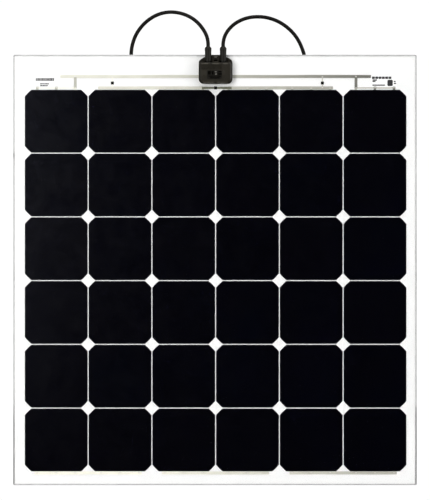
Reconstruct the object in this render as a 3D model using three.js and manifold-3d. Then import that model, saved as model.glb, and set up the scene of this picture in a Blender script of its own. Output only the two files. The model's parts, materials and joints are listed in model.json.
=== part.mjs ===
// A flexible solar sheet: 36 back-contact silicon cells laminated between a clear front film and a
// white back sheet, with a snap-lid junction box and two cable leads at the top edge.
// Millimetres. +X is the sheet's right as its face is looked at, +Y points out of its back, +Z is up.
// The origin is on the back face, at the middle of the margin above the cells, and at mid width.
// The laminate's bending is divided into three strips, each two cell rows high, that hinge on each other.
import * as THREE from "three";
import { mergeVertices } from "three/addons/utils/BufferGeometryUtils.js";
import Module from "manifold-3d";

// Driving dimensions of the sheet
const sheetWidth = 807;
const sheetHeight = 861;
const sheetCorner = 3;
const leftMargin = 23.5;
const topMargin = 70.5;

// Cells: pseudo-squares cut from a round wafer
const cellSize = 125;
const cellGap = 2.5;
const waferRadius = 80;
const cellColumns = 6;
const cellRows = 6;
const padSpacing = 38;

// Laminate: back sheet, cell layer and front film, each a gap apart
const layerGap = 0.3;
const backThickness = 0.8;
const cellThickness = 0.2;
const filmThickness = 0.6;

// Strips and the clearance at the bending line between two of them
const rowsPerStrip = 2;
const stripGap = 0.8;

// Tinned ribbons and embedded bypass diodes, with depths below the sheet's top edge
const ribbonHeight = 6;
const upperBusDepth = 43.6;
const diodeDepth = 56.6;
const lowerBusDepth = 66.4;
const bottomLinkDepth = 836.5;
const busOverhang = 30;
const linkOverhang = 5.5;
const stubWidth = 5.4;
const padStripHeight = 2.4;
const tabThickness = 0.3;
const leadWidth = 1.6;
const outerDiodes = { left: -205.2, right: 214.8 };
const diodeSize = 6;
const diodeThickness = 0.4;

// Junction box, with depths below the sheet's top edge
const boxWidth = 67.4;
const boxTop = 0.4;
const shoulderDepth = 4.4;
const sideDepth = 15.5;
const trayTop = 16;
const boxBottom = 58.7;
const boxCorner = 10;
const shoulderHalf = 21;
const tongueHalf = 9;
const boxWall = 2.5;
const boxFloor = 2;
const shoulderHeight = 6;
const trayHeight = 11.5;
const slotHalfWidth = 16;
const slotHalfHeight = 4.5;
const boxClearance = 0.3;

// Lid that snaps over the tray, with a looped latch tongue between the two sleeves
const lidInset = 2;
const lidThickness = 3;
const lidBottom = 57;
const lidCorner = 9;
const skirtThickness = 1.2;
const skirtDepth = 3;
const latchHalf = 6;
const latchTop = 2.9;
const latchThickness = 2.4;
const windowHalf = 3.9;
const windowTop = 4.5;
const windowBottom = 9;

// Cable sleeves, cables and connectors
const sleeveSpacing = 30;
const sleeveRadius = 6.5;
const collarRadius = 6.75;
const sleeveFoot = 14.7;
const collarBottom = 8;
const collarTop = 13.4;
const sleeveTop = 15.4;
const sleeveAxisHeight = 7;
const cableDiameter = 7.5;
const cableSides = 10;
const cableStep = 16;

// Places worked out from the driving dimensions
const cellPitch = cellSize + cellGap;
const topEdge = topMargin / 2;
const bottomEdge = topEdge - sheetHeight;
const gridLeft = -sheetWidth / 2 + leftMargin;
const gridTop = topEdge - topMargin;
const gridCentre = gridLeft + (cellColumns * cellPitch - cellGap) / 2;
const cellBack = -backThickness - layerGap;
const filmBack = cellBack - cellThickness - layerGap;
const filmFront = filmBack - filmThickness;
const cellMiddle = cellBack - cellThickness / 2;
const boxBack = filmFront - boxClearance;
const boxCentre = gridCentre;
const trayFront = boxBack - trayHeight;
const lidBack = trayFront - boxClearance;
const lidFront = lidBack - lidThickness;
const sleeveAxis = boxBack - sleeveAxisHeight;

const wasm = await Module();
wasm.setup();

const colours = {
  film: { color: 0xf4f6f8, roughness: 0.2, metalness: 0, transparent: true, opacity: 0.25 },
  back: { color: 0xf2f2f0, roughness: 0.5, metalness: 0 },
  cell: { color: 0x0b0c14, roughness: 0.25, metalness: 0.1 },
  ribbon: { color: 0xb9b6aa, roughness: 0.4, metalness: 0.9 },
  diode: { color: 0x101010, roughness: 0.6, metalness: 0 },
  box: { color: 0x1b1b19, roughness: 0.55, metalness: 0 },
  sleeve: { color: 0x1d1c18, roughness: 0.7, metalness: 0 },
  cable: { color: 0x141413, roughness: 0.6, metalness: 0 },
  connector: { color: 0x121212, roughness: 0.5, metalness: 0 },
};

const group = new THREE.Group();
group.name = "flexible_solar_sheet";

function addMesh(name, geometry, colour) {
  const mesh = new THREE.Mesh(geometry, new THREE.MeshStandardMaterial(colours[colour]));
  mesh.name = name;
  group.add(mesh);
  return mesh;
}

function solidOf(geometry) {
  const bare = geometry.clone();
  bare.deleteAttribute("normal");
  bare.deleteAttribute("uv");
  const merged = mergeVertices(bare, 1e-3);
  return new wasm.Manifold(
    new wasm.Mesh({
      numProp: 3,
      vertProperties: merged.attributes.position.array,
      triVerts: new Uint32Array(merged.index.array),
    }),
  );
}

function geometryOf(solid) {
  const mesh = solid.getMesh();
  const geometry = new THREE.BufferGeometry();
  geometry.setAttribute("position", new THREE.BufferAttribute(mesh.vertProperties, 3));
  geometry.setIndex(new THREE.BufferAttribute(mesh.triVerts, 1));
  return geometry;
}

// A shape drawn in X and Z, made solid from the plane Y = back forwards, towards -Y
function plate(shape, back, thickness, curveSegments = 6) {
  const options = { depth: thickness, bevelEnabled: false, curveSegments };
  const geometry = new THREE.ExtrudeGeometry(shape, options);
  geometry.rotateX(Math.PI / 2);
  geometry.translate(0, back, 0);
  return geometry;
}

// A block between two corners
function block(x0, x1, y0, y1, z0, z1) {
  const geometry = new THREE.BoxGeometry(x1 - x0, y1 - y0, z1 - z0);
  geometry.translate((x0 + x1) / 2, (y0 + y1) / 2, (z0 + z1) / 2);
  return geometry;
}

// A rectangle whose top and bottom corners have radii of their own
function roundedRectangle(x0, x1, z0, z1, topRadius, bottomRadius) {
  const shape = new THREE.Shape();
  shape.moveTo(x0 + bottomRadius, z0);
  shape.lineTo(x1 - bottomRadius, z0);
  if (bottomRadius > 0) {
    shape.absarc(x1 - bottomRadius, z0 + bottomRadius, bottomRadius, -Math.PI / 2, 0);
  }
  shape.lineTo(x1, z1 - topRadius);
  if (topRadius > 0) {
    shape.absarc(x1 - topRadius, z1 - topRadius, topRadius, 0, Math.PI / 2);
  }
  shape.lineTo(x0 + topRadius, z1);
  if (topRadius > 0) {
    shape.absarc(x0 + topRadius, z1 - topRadius, topRadius, Math.PI / 2, Math.PI);
  }
  shape.lineTo(x0, z0 + bottomRadius);
  if (bottomRadius > 0) {
    shape.absarc(x0 + bottomRadius, z0 + bottomRadius, bottomRadius, Math.PI, 1.5 * Math.PI);
  }
  return shape;
}

// Laminate: one front film and one back sheet to each strip
const stripNames = ["top", "middle", "bottom"];
const bendLines = [1, 2].map(
  (strip) => gridTop - strip * rowsPerStrip * cellPitch + cellGap / 2,
);
const stripTops = [topEdge, ...bendLines.map((line) => line - stripGap / 2)];
const stripBottoms = [...bendLines.map((line) => line + stripGap / 2), bottomEdge];

function stripShape(strip) {
  const topRadius = strip === 0 ? sheetCorner : 0;
  const bottomRadius = strip === stripNames.length - 1 ? sheetCorner : 0;
  const half = sheetWidth / 2;
  return roundedRectangle(
    -half, half, stripBottoms[strip], stripTops[strip], topRadius, bottomRadius,
  );
}

// The ribbons pass to the junction box through this slot in the film and in the box's floor
const slotMiddle = topEdge - upperBusDepth;

function ribbonSlot() {
  return roundedRectangle(
    boxCentre - slotHalfWidth, boxCentre + slotHalfWidth,
    slotMiddle - slotHalfHeight, slotMiddle + slotHalfHeight, 1, 1,
  );
}

stripNames.forEach((name, strip) => {
  addMesh(`back_sheet_${name}`, plate(stripShape(strip), 0, backThickness), "back");
  const filmShape = stripShape(strip);
  if (strip === 0) {
    filmShape.holes.push(ribbonSlot());
  }
  addMesh(`front_film_${name}`, plate(filmShape, filmBack, filmThickness), "film");
});

// Cells
function cellShape() {
  const half = cellSize / 2;
  const flat = Math.acos(half / waferRadius);
  const shape = new THREE.Shape();
  for (let side = 0; side < 4; side += 1) {
    const middle = Math.PI / 4 + (side * Math.PI) / 2;
    const sweep = Math.PI / 4 - flat;
    shape.absarc(0, 0, waferRadius, middle - sweep, middle + sweep);
  }
  return shape;
}

function columnCentre(column) {
  return gridLeft + cellSize / 2 + (column - 1) * cellPitch;
}

function rowCentre(row) {
  return gridTop - cellSize / 2 - (row - 1) * cellPitch;
}

for (let row = 1; row <= cellRows; row += 1) {
  for (let column = 1; column <= cellColumns; column += 1) {
    const cell = plate(cellShape(), cellBack, cellThickness, 4);
    cell.translate(columnCentre(column), 0, rowCentre(row));
    addMesh(`cell_r${row}_c${column}`, cell, "cell");
  }
}

// Ribbons, flat bars in the cell layer
function bar(x0, x1, top, bottom) {
  return solidOf(
    block(
      Math.min(x0, x1), Math.max(x0, x1),
      cellBack - cellThickness, cellBack,
      topEdge - bottom, topEdge - top,
    ),
  );
}

function ribbon(x0, x1, depth) {
  return bar(x0, x1, depth - ribbonHeight / 2, depth + ribbonHeight / 2);
}

// Diodes: one under the box, and one between the two ribbons on either side of it
const diodeReach = diodeSize / 2 + layerGap;
const outerDiodeDepths = [diodeDepth - diodeReach, diodeDepth + diodeReach];

function addDiode(name, x, depth) {
  const half = diodeSize / 2;
  const z = topEdge - depth;
  const body = block(
    x - half, x + half,
    cellMiddle - diodeThickness / 2, cellMiddle + diodeThickness / 2,
    z - half, z + half,
  );
  addMesh(name, body, "diode");
}

addDiode("bypass_diode_left", outerDiodes.left, diodeDepth);
addDiode("bypass_diode_middle", gridCentre, lowerBusDepth);
addDiode("bypass_diode_right", outerDiodes.right, diodeDepth);

// side is -1 for the left half of the sheet and 1 for the right half, which mirror each other
function addUpperBus(end, side) {
  const outerPad = gridCentre + side * (2.5 * cellPitch + padSpacing);
  const innerPad = gridCentre + side * (2.5 * cellPitch - padSpacing);
  const diodeX = outerDiodes[end];
  const tabX = boxCentre + side * 8;
  const run = ribbon(innerPad + side * busOverhang, tabX, upperBusDepth);
  const stub = bar(
    innerPad - stubWidth / 2, innerPad + stubWidth / 2, upperBusDepth, lowerBusDepth,
  );
  const padStrip = bar(
    innerPad - side * (stubWidth / 2), outerPad + side * 3,
    lowerBusDepth - padStripHeight / 2, lowerBusDepth + padStripHeight / 2,
  );
  const lead = bar(
    diodeX - leadWidth / 2, diodeX + leadWidth / 2, upperBusDepth, outerDiodeDepths[0],
  );
  const tab = solidOf(
    block(
      tabX - tabThickness / 2, tabX + tabThickness / 2,
      boxBack - boxFloor - 3, cellBack,
      slotMiddle - ribbonHeight / 2, slotMiddle + ribbonHeight / 2,
    ),
  );
  const whole = run.add(stub).add(padStrip).add(lead).add(tab);
  addMesh(`upper_bus_${end}`, geometryOf(whole), "ribbon");
}

function addLowerBus(end, side) {
  const outerPad = gridCentre + side * (1.5 * cellPitch + padSpacing);
  const innerPad = gridCentre + side * (0.5 * cellPitch - padSpacing);
  const diodeX = outerDiodes[end];
  const run = ribbon(outerPad + side * linkOverhang, innerPad, lowerBusDepth);
  const tail = bar(
    innerPad + side, gridCentre + side * diodeReach,
    lowerBusDepth - leadWidth, lowerBusDepth + leadWidth,
  );
  const lead = bar(
    diodeX - leadWidth / 2, diodeX + leadWidth / 2, outerDiodeDepths[1], lowerBusDepth,
  );
  addMesh(`lower_bus_${end}`, geometryOf(run.add(tail).add(lead)), "ribbon");
}

for (const [end, side] of [["left", -1], ["right", 1]]) {
  addUpperBus(end, side);
  addLowerBus(end, side);
}

// Each bottom link joins the last cells of two neighbouring columns
for (let link = 1; link <= cellColumns / 2; link += 1) {
  const first = columnCentre(2 * link - 1) - padSpacing - linkOverhang;
  const last = columnCentre(2 * link) + padSpacing + linkOverhang;
  addMesh(`bottom_link_${link}`, geometryOf(ribbon(first, last, bottomLinkDepth)), "ribbon");
}

// Junction box base: a tray with a lower shoulder plate above it that carries the two sleeves
function shoulderShape() {
  const half = boxWidth / 2;
  const shape = new THREE.Shape();
  shape.moveTo(-half, topEdge - trayTop - boxCorner);
  shape.lineTo(half, topEdge - trayTop - boxCorner);
  shape.lineTo(half, topEdge - sideDepth);
  shape.quadraticCurveTo(half, topEdge - sideDepth + 5, half - 6, topEdge - sideDepth + 7);
  shape.lineTo(shoulderHalf, topEdge - shoulderDepth);
  shape.lineTo(tongueHalf, topEdge - shoulderDepth);
  shape.lineTo(tongueHalf, topEdge - boxTop);
  shape.lineTo(-tongueHalf, topEdge - boxTop);
  shape.lineTo(-tongueHalf, topEdge - shoulderDepth);
  shape.lineTo(-shoulderHalf, topEdge - shoulderDepth);
  shape.lineTo(-half + 6, topEdge - sideDepth + 7);
  shape.quadraticCurveTo(-half, topEdge - sideDepth + 5, -half, topEdge - sideDepth);
  return shape;
}

function upright(radius, segments, bottom, top) {
  const geometry = new THREE.CylinderGeometry(radius, radius, top - bottom, segments);
  geometry.rotateX(Math.PI / 2);
  geometry.translate(0, sleeveAxis, (top + bottom) / 2);
  return geometry;
}

function junctionBoxBase() {
  const half = boxWidth / 2;
  const tray = roundedRectangle(
    -half, half, topEdge - boxBottom, topEdge - trayTop, 3, boxCorner,
  );
  const cavity = roundedRectangle(
    -half + boxWall, half - boxWall, topEdge - boxBottom + boxWall,
    topEdge - trayTop - boxWall, 1, boxCorner - boxWall,
  );
  let base = solidOf(plate(shoulderShape(), boxBack, shoulderHeight));
  base = base.add(solidOf(plate(tray, boxBack, trayHeight)));
  base = base.subtract(solidOf(plate(cavity, boxBack - boxFloor, trayHeight)));
  const floorSlot = plate(ribbonSlot(), boxBack + 1, boxFloor + 2);
  floorSlot.translate(-boxCentre, 0, 0);
  base = base.subtract(solidOf(floorSlot));
  for (const side of [-1, 1]) {
    const channel = upright(sleeveRadius + 0.3, 24, topEdge - sleeveFoot - 0.3, topEdge + 5);
    const cableHole = upright(cableDiameter / 2 + 0.3, 16, topEdge - 25, topEdge - 10);
    for (const cut of [channel, cableHole]) {
      cut.translate((side * sleeveSpacing) / 2, 0, 0);
      base = base.subtract(solidOf(cut));
    }
  }
  const catchBlock = block(
    -windowHalf + 0.5, windowHalf - 0.5,
    boxBack - shoulderHeight - latchThickness, boxBack - shoulderHeight + 1,
    topEdge - windowBottom + 0.5, topEdge - windowTop - 0.5,
  );
  return base.add(solidOf(catchBlock));
}

const base = addMesh("junction_box_base", geometryOf(junctionBoxBase()), "box");
base.position.x = boxCentre;

// Junction box lid: a plate with a skirt that fits inside the tray and a looped latch tongue
function junctionBoxLid() {
  const half = boxWidth / 2 - lidInset;
  const cover = roundedRectangle(
    -half, half, topEdge - lidBottom, topEdge - trayTop - 0.2, 2.5, lidCorner,
  );
  const skirtHalf = boxWidth / 2 - boxWall - 0.5;
  const skirtBottom = topEdge - boxBottom + boxWall + 0.5;
  const skirtTop = topEdge - trayTop - boxWall - 0.5;
  const skirt = roundedRectangle(
    -skirtHalf, skirtHalf, skirtBottom, skirtTop, 1, boxCorner - boxWall - 0.5,
  );
  skirt.holes.push(
    roundedRectangle(
      -skirtHalf + skirtThickness, skirtHalf - skirtThickness, skirtBottom + skirtThickness,
      skirtTop - skirtThickness, 1, boxCorner - boxWall - 0.5 - skirtThickness,
    ),
  );
  const tongueBack = boxBack - shoulderHeight - 0.4;
  const linkDepth = trayTop - 0.4;
  const link = block(
    -latchHalf, latchHalf, lidFront, tongueBack, topEdge - linkDepth, topEdge - linkDepth + 2,
  );
  const bridge = block(
    -latchHalf, latchHalf, lidFront, lidBack, topEdge - trayTop - 2, topEdge - linkDepth + 1,
  );
  const tongue = block(
    -latchHalf, latchHalf, tongueBack - latchThickness, tongueBack,
    topEdge - linkDepth, topEdge - latchTop,
  );
  const window = block(
    -windowHalf, windowHalf, tongueBack - 4, tongueBack + 1,
    topEdge - windowBottom, topEdge - windowTop,
  );
  return solidOf(plate(cover, lidBack, lidThickness))
    .add(solidOf(plate(skirt, lidBack + skirtDepth, skirtDepth + 0.5)))
    .add(solidOf(link))
    .add(solidOf(bridge))
    .add(solidOf(tongue).subtract(solidOf(window)));
}

const lid = addMesh("junction_box_lid", geometryOf(junctionBoxLid()), "box");
lid.position.x = boxCentre;

// Cable sleeves, solid up to the face that the cable leaves
function sleeveGeometry() {
  const profile = [
    [0, -sleeveFoot],
    [sleeveRadius, -sleeveFoot],
    [sleeveRadius, collarBottom - 1],
    [collarRadius, collarBottom],
    [collarRadius, collarTop],
    [4.2, sleeveTop],
    [0, sleeveTop],
  ];
  const points = profile.map(([radius, height]) => new THREE.Vector2(radius, height));
  const geometry = new THREE.LatheGeometry(points, 24);
  geometry.rotateX(Math.PI / 2);
  return geometry;
}

// Cables: out of the sleeve, over the sheet's top edge and down behind it. Points are X, Y and Z,
// with Z measured from the top edge.
const routes = {
  left: [
    [-13.75, -9.5, 15.7],
    [-13.9, -9.5, 23],
    [-15.2, -9.3, 31.8],
    [-18.2, -8.7, 40.6],
    [-23.4, -7.75, 50],
    [-31.4, -6.5, 60.5],
    [-42.4, -5, 70.5],
    [-56, -3.1, 78.4],
    [-71.5, -0.9, 83.5],
    [-87.5, 1.5, 85.4],
    [-103, 3.8, 83.9],
    [-117.3, 6, 79.3],
    [-130.4, 8, 71.9],
    [-141.6, 9.7, 62.7],
    [-150.8, 11.2, 52.2],
    [-158, 12.5, 40.8],
    [-163.2, 13.6, 28.5],
    [-166.6, 14.5, 15.5],
    [-168, 15, 1],
    [-168.4, 15, -17],
    [-168.6, 15, -40],
    [-168.7, 15, -80],
    [-168.7, 15, -120],
    [-168.7, 15, -165],
    [-168.7, 15, -206],
  ],
  right: [
    [16.25, -9.5, 15.7],
    [16.4, -9.5, 23],
    [18.1, -9.3, 32.2],
    [21.6, -8.7, 41],
    [27.5, -7.6, 50],
    [35.8, -6.5, 58.6],
    [46.4, -5.1, 66],
    [58.7, -3.4, 71.6],
    [72.4, -1.4, 75],
    [87, 0.8, 76],
    [101.6, 3, 74.8],
    [115.7, 5.1, 71.2],
    [128.9, 7.2, 65.6],
    [140.8, 9.1, 58.1],
    [151.2, 10.8, 49.4],
    [160, 12.3, 39.6],
    [167.2, 13.5, 28.9],
    [173, 14.4, 17],
    [177.6, 15, 4],
    [181, 15, -11],
    [183.2, 15, -27],
    [184.4, 15, -45],
    [184.8, 15, -80],
    [184.8, 15, -120],
    [184.8, 15, -170],
    [184.8, 15, -215.7],
  ],
};

function cableSection() {
  const shape = new THREE.Shape();
  for (let side = 0; side < cableSides; side += 1) {
    const angle = (2 * Math.PI * side) / cableSides;
    const x = (cableDiameter / 2) * Math.cos(angle);
    const y = (cableDiameter / 2) * Math.sin(angle);
    if (side === 0) {
      shape.moveTo(x, y);
    } else {
      shape.lineTo(x, y);
    }
  }
  return shape;
}

function cableGeometry(route) {
  const points = route.map(([x, y, z]) => new THREE.Vector3(x, y, topEdge + z));
  const path = new THREE.CatmullRomCurve3(points);
  const steps = Math.round(path.getLength() / cableStep);
  const options = { steps, bevelEnabled: false, extrudePath: path };
  return new THREE.ExtrudeGeometry(cableSection(), options);
}

// Connectors hang from the cables' ends: a cap nut, a grip and a mating nose, as radius and depth
const socketProfile = [
  [0, 0],
  [5.4, 0],
  [7.6, 3],
  [7.6, 17],
  [8.3, 18],
  [8.3, 30],
  [9, 31],
  [9, 52],
  [6.2, 54],
  [6.2, 62],
  [0, 62],
];
const plugProfile = [
  [0, 0],
  [5.4, 0],
  [7.6, 3],
  [7.6, 17],
  [8.3, 18],
  [8.3, 30],
  [9, 31],
  [9, 44],
  [6, 46],
  [4.4, 60],
  [0, 60],
];

function connectorGeometry(profile) {
  const points = profile.map(([radius, depth]) => new THREE.Vector2(radius, -depth));
  const geometry = new THREE.LatheGeometry(points.reverse(), 16);
  geometry.rotateX(Math.PI / 2);
  return geometry;
}

for (const [name, side, profile] of [["left", -1, socketProfile], ["right", 1, plugProfile]]) {
  const sleeve = addMesh(`cable_sleeve_${name}`, sleeveGeometry(), "sleeve");
  sleeve.position.set(boxCentre + (side * sleeveSpacing) / 2, sleeveAxis, topEdge);
  addMesh(`cable_${name}`, cableGeometry(routes[name]), "cable");
  const connector = addMesh(`connector_${name}`, connectorGeometry(profile), "connector");
  const [endX, endY, endZ] = routes[name].at(-1);
  connector.position.set(endX, endY, topEdge + endZ - boxClearance);
}

export default group;
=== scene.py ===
"""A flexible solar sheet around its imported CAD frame: laminate, cells, ribbons, junction box and leads.

Metres, in the frame of the CAD part: +X right, +Y out of the sheet's back, +Z up.
"""

import json
import math
import random

import bmesh
import bpy
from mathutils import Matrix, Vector


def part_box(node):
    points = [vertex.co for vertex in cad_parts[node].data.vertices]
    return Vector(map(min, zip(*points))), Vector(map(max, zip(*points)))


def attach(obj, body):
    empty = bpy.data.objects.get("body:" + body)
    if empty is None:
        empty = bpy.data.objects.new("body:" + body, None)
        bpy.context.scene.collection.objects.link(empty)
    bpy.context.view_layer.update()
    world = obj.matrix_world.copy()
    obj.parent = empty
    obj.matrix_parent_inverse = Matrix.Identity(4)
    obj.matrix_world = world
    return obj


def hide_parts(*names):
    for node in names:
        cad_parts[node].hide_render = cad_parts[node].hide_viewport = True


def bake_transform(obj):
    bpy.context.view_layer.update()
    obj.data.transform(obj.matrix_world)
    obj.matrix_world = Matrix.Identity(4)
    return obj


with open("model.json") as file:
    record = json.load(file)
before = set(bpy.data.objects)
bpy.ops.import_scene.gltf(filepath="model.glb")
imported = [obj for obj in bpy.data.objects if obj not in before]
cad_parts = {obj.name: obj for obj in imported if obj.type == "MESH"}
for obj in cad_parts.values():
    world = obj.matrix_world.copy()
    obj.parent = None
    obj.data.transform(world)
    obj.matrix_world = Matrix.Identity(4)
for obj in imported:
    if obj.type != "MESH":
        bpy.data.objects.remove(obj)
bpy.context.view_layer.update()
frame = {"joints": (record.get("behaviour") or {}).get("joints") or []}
mm = 0.001

# ---------------------------------------------------------------- places from the frame

BACK_LOW, BACK_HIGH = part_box("back_sheet_top")
FILM_LOW, FILM_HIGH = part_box("front_film_top")
CELL_LOW, CELL_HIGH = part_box("cell_r1_c1")
NEXT_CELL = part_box("cell_r1_c2")[0]
BASE_LOW, BASE_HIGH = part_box("junction_box_base")
LID_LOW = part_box("junction_box_lid")[0]

sheet_left, sheet_right = BACK_LOW.x, BACK_HIGH.x
sheet_top = BACK_HIGH.z
sheet_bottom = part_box("back_sheet_bottom")[0].z
cell_size = CELL_HIGH.x - CELL_LOW.x
pitch = NEXT_CELL.x - CELL_LOW.x
cell_gap = pitch - cell_size
grid_left, grid_top = CELL_LOW.x, CELL_HIGH.z
columns = rows = 6
cell_foot_z = grid_top - rows * pitch + cell_gap
wafer_radius = 80 * mm
pad_spacing = 38 * mm
box_x = (BASE_LOW.x + BASE_HIGH.x) / 2
upper_bus_z = sheet_top - 43.6 * mm
lower_bus_z = sheet_top - 66.4 * mm
SIDES = {"left": -1, "right": 1}

bend_z = {j["name"]: j["pos_m"][2] for j in frame["joints"] if j["type"] == "hinge"}
bend_reach = 126 * mm
strip_split = (bend_z["upper_bend"] + bend_z["lower_bend"]) / 2
bend_step = 7 * mm

corner_radius = 3 * mm
# The silicon is modelled this much further out than in CAD, to match how narrow the gaps look.
cell_overlap = 0.3 * mm
face_scale = 0.9985

view_height = 1.0
view_rise = 39.9 * mm
camera_distance = 9.0


def cell_middle(row, column):
    """The middle of a cell in X and Z; rows and columns count from 1 at the top left."""
    x = grid_left + cell_size / 2 + (column - 1) * pitch
    z = grid_top - cell_size / 2 - (row - 1) * pitch
    return x, z


def linked(name, data):
    made = bpy.data.objects.new(name, data)
    bpy.context.scene.collection.objects.link(made)
    return made


def mesh_from(name, bm):
    mesh = bpy.data.meshes.new(name)
    bm.to_mesh(mesh)
    bm.free()
    return mesh


# ---------------------------------------------------------------- camera

def add_camera():
    data = bpy.data.cameras.new("camera")
    camera = linked("camera", data)
    middle = (sheet_top + sheet_bottom) / 2 + view_rise
    front = FILM_LOW.y
    data.sensor_width = 36
    data.lens = data.sensor_width * camera_distance / view_height
    data.clip_end = 200
    camera.location = (0, front - camera_distance, middle)
    camera.rotation_euler = (math.pi / 2, 0, 0)
    bpy.context.scene.camera = camera


# ---------------------------------------------------------------- shader helpers

def new_material(name, colour, roughness, metallic=0.0, specular=0.5):
    """A Principled material; returns it with its node tree and shader node."""
    material = bpy.data.materials.new(name)
    material.use_nodes = True
    tree = material.node_tree
    shader = tree.nodes["Principled BSDF"]
    shader.inputs["Base Color"].default_value = (*colour, 1)
    shader.inputs["Roughness"].default_value = roughness
    shader.inputs["Metallic"].default_value = metallic
    shader.inputs["Specular IOR Level"].default_value = specular
    return material, tree, shader


def node(tree, kind, **values):
    """A node with properties set by name, and inputs set where the name is an input's."""
    made = tree.nodes.new(kind)
    for key, value in values.items():
        if key in made.inputs:
            made.inputs[key].default_value = value
        else:
            setattr(made, key, value)
    return made


def position(tree, scale=(1, 1, 1)):
    """Object coordinates, stretched by a scale on each axis."""
    coordinates = node(tree, "ShaderNodeTexCoord")
    mapping = node(tree, "ShaderNodeMapping")
    mapping.inputs["Scale"].default_value = scale
    tree.links.new(coordinates.outputs["Object"], mapping.inputs["Vector"])
    return mapping.outputs["Vector"]


def axes(tree, space="Object"):
    """The X, Y and Z outputs of the coordinates in a space."""
    place = node(tree, "ShaderNodeTexCoord")
    split = node(tree, "ShaderNodeSeparateXYZ")
    tree.links.new(place.outputs[space], split.inputs[0])
    return split.outputs


def noise(tree, scale, detail=2.0, roughness=0.5, stretch=(1, 1, 1)):
    made = node(tree, "ShaderNodeTexNoise", Scale=scale, Detail=detail, Roughness=roughness)
    tree.links.new(position(tree, stretch), made.inputs["Vector"])
    return made.outputs["Fac"]


def spread(tree, value, low, high, from_low=0.3, from_high=0.7):
    """Maps a noise's usual range to low..high."""
    made = node(tree, "ShaderNodeMapRange")
    made.inputs["From Min"].default_value = from_low
    made.inputs["From Max"].default_value = from_high
    made.inputs["To Min"].default_value = low
    made.inputs["To Max"].default_value = high
    tree.links.new(value, made.inputs["Value"])
    return made.outputs["Result"]


def blend_colours(tree, factor, low, high):
    made = node(tree, "ShaderNodeMix", data_type="RGBA")
    tree.links.new(factor, made.inputs["Factor"])
    for socket, colour in ((made.inputs[6], low), (made.inputs[7], high)):
        if isinstance(colour, tuple):
            socket.default_value = (*colour, 1)
        else:
            tree.links.new(colour, socket)
    return made.outputs[2]


def math_node(tree, operation, first, second=None):
    made = node(tree, "ShaderNodeMath", operation=operation)
    for socket, value in zip(made.inputs, (first, second)):
        if value is None:
            continue
        if isinstance(value, (int, float)):
            socket.default_value = value
        else:
            tree.links.new(value, socket)
    return made.outputs["Value"]


def add_bump(tree, shader, height, distance, strength=1.0, chain=None):
    """Bumps the shader's normal; distance is the relief in metres."""
    made = node(tree, "ShaderNodeBump", Strength=strength, Distance=distance)
    tree.links.new(height, made.inputs["Height"])
    if chain is not None:
        tree.links.new(chain, made.inputs["Normal"])
    tree.links.new(made.outputs["Normal"], shader.inputs["Normal"])
    return made.outputs["Normal"]


def vary_roughness(tree, shader, scale, detail, low, high):
    tree.links.new(spread(tree, noise(tree, scale, detail), low, high), shader.inputs["Roughness"])


def vary_colour(tree, shader, factor, low, high):
    tree.links.new(blend_colours(tree, factor, low, high), shader.inputs["Base Color"])


def grey(level):
    return (level, level, level)


# ---------------------------------------------------------------- materials

def make_cell_silicon():
    """Near-black blue silicon; the UV map holds millimetres from the cell's middle."""
    material, tree, shader = new_material("cell_silicon", (0.002, 0.002, 0.003), 0.18, specular=0.26)
    shader.inputs["Specular Tint"].default_value = (0.72, 0.76, 1, 1)
    uv = node(tree, "ShaderNodeUVMap", uv_map="cell")
    split = node(tree, "ShaderNodeSeparateXYZ")
    tree.links.new(uv.outputs["UV"], split.inputs[0])
    across = math_node(tree, "ABSOLUTE", split.outputs["X"])
    along = math_node(tree, "ABSOLUTE", split.outputs["Y"])
    radius = node(tree, "ShaderNodeVectorMath", operation="LENGTH")
    tree.links.new(uv.outputs["UV"], radius.inputs[0])
    half = cell_size / mm / 2
    from_side = math_node(tree, "SUBTRACT", half, math_node(tree, "MAXIMUM", across, along))
    from_corner = math_node(tree, "SUBTRACT", wafer_radius / mm, radius.outputs["Value"])
    inset = math_node(tree, "MINIMUM", from_side, from_corner)
    line = spread(tree, inset, 1.0, 0.0, 1.2, 3.6)
    rim = spread(tree, inset, 0.0, 1.0, 0.3, 1.2)
    border = math_node(tree, "MULTIPLY", line, rim)
    cloud = spread(tree, noise(tree, 9, 3), 0.0, 1.0)
    tone = node(tree, "ShaderNodeAttribute", attribute_name="tone")
    base = blend_colours(tree, cloud, (0.0004, 0.0003, 0.0014), (0.0002, 0.0004, 0.002))
    toned = blend_colours(tree, tone.outputs["Fac"], base, (0.0006, 0.0005, 0.0017))
    soft_border = math_node(tree, "MULTIPLY", border, 0.55)
    vary_colour(tree, shader, soft_border, toned, (0.004, 0.004, 0.0065))
    vary_roughness(tree, shader, 60, 4, 0.15, 0.2)
    add_bump(tree, shader, noise(tree, 900, 2), 0.01 * mm, 0.3)
    return material


def make_back_white():
    material, tree, shader = new_material("back_sheet_white", (0.9, 0.9, 0.89), 0.42)
    cloud = spread(tree, noise(tree, 14, 4), 0.0, 1.0)
    vary_colour(tree, shader, cloud, (0.905, 0.905, 0.895), (0.875, 0.877, 0.872))
    vary_roughness(tree, shader, 90, 3, 0.36, 0.5)
    fine = add_bump(tree, shader, noise(tree, 1400, 3, 0.6), 0.02 * mm, 0.35)
    add_bump(tree, shader, cell_pads(tree), 0.5 * mm, 0.6, fine)
    return material


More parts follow.
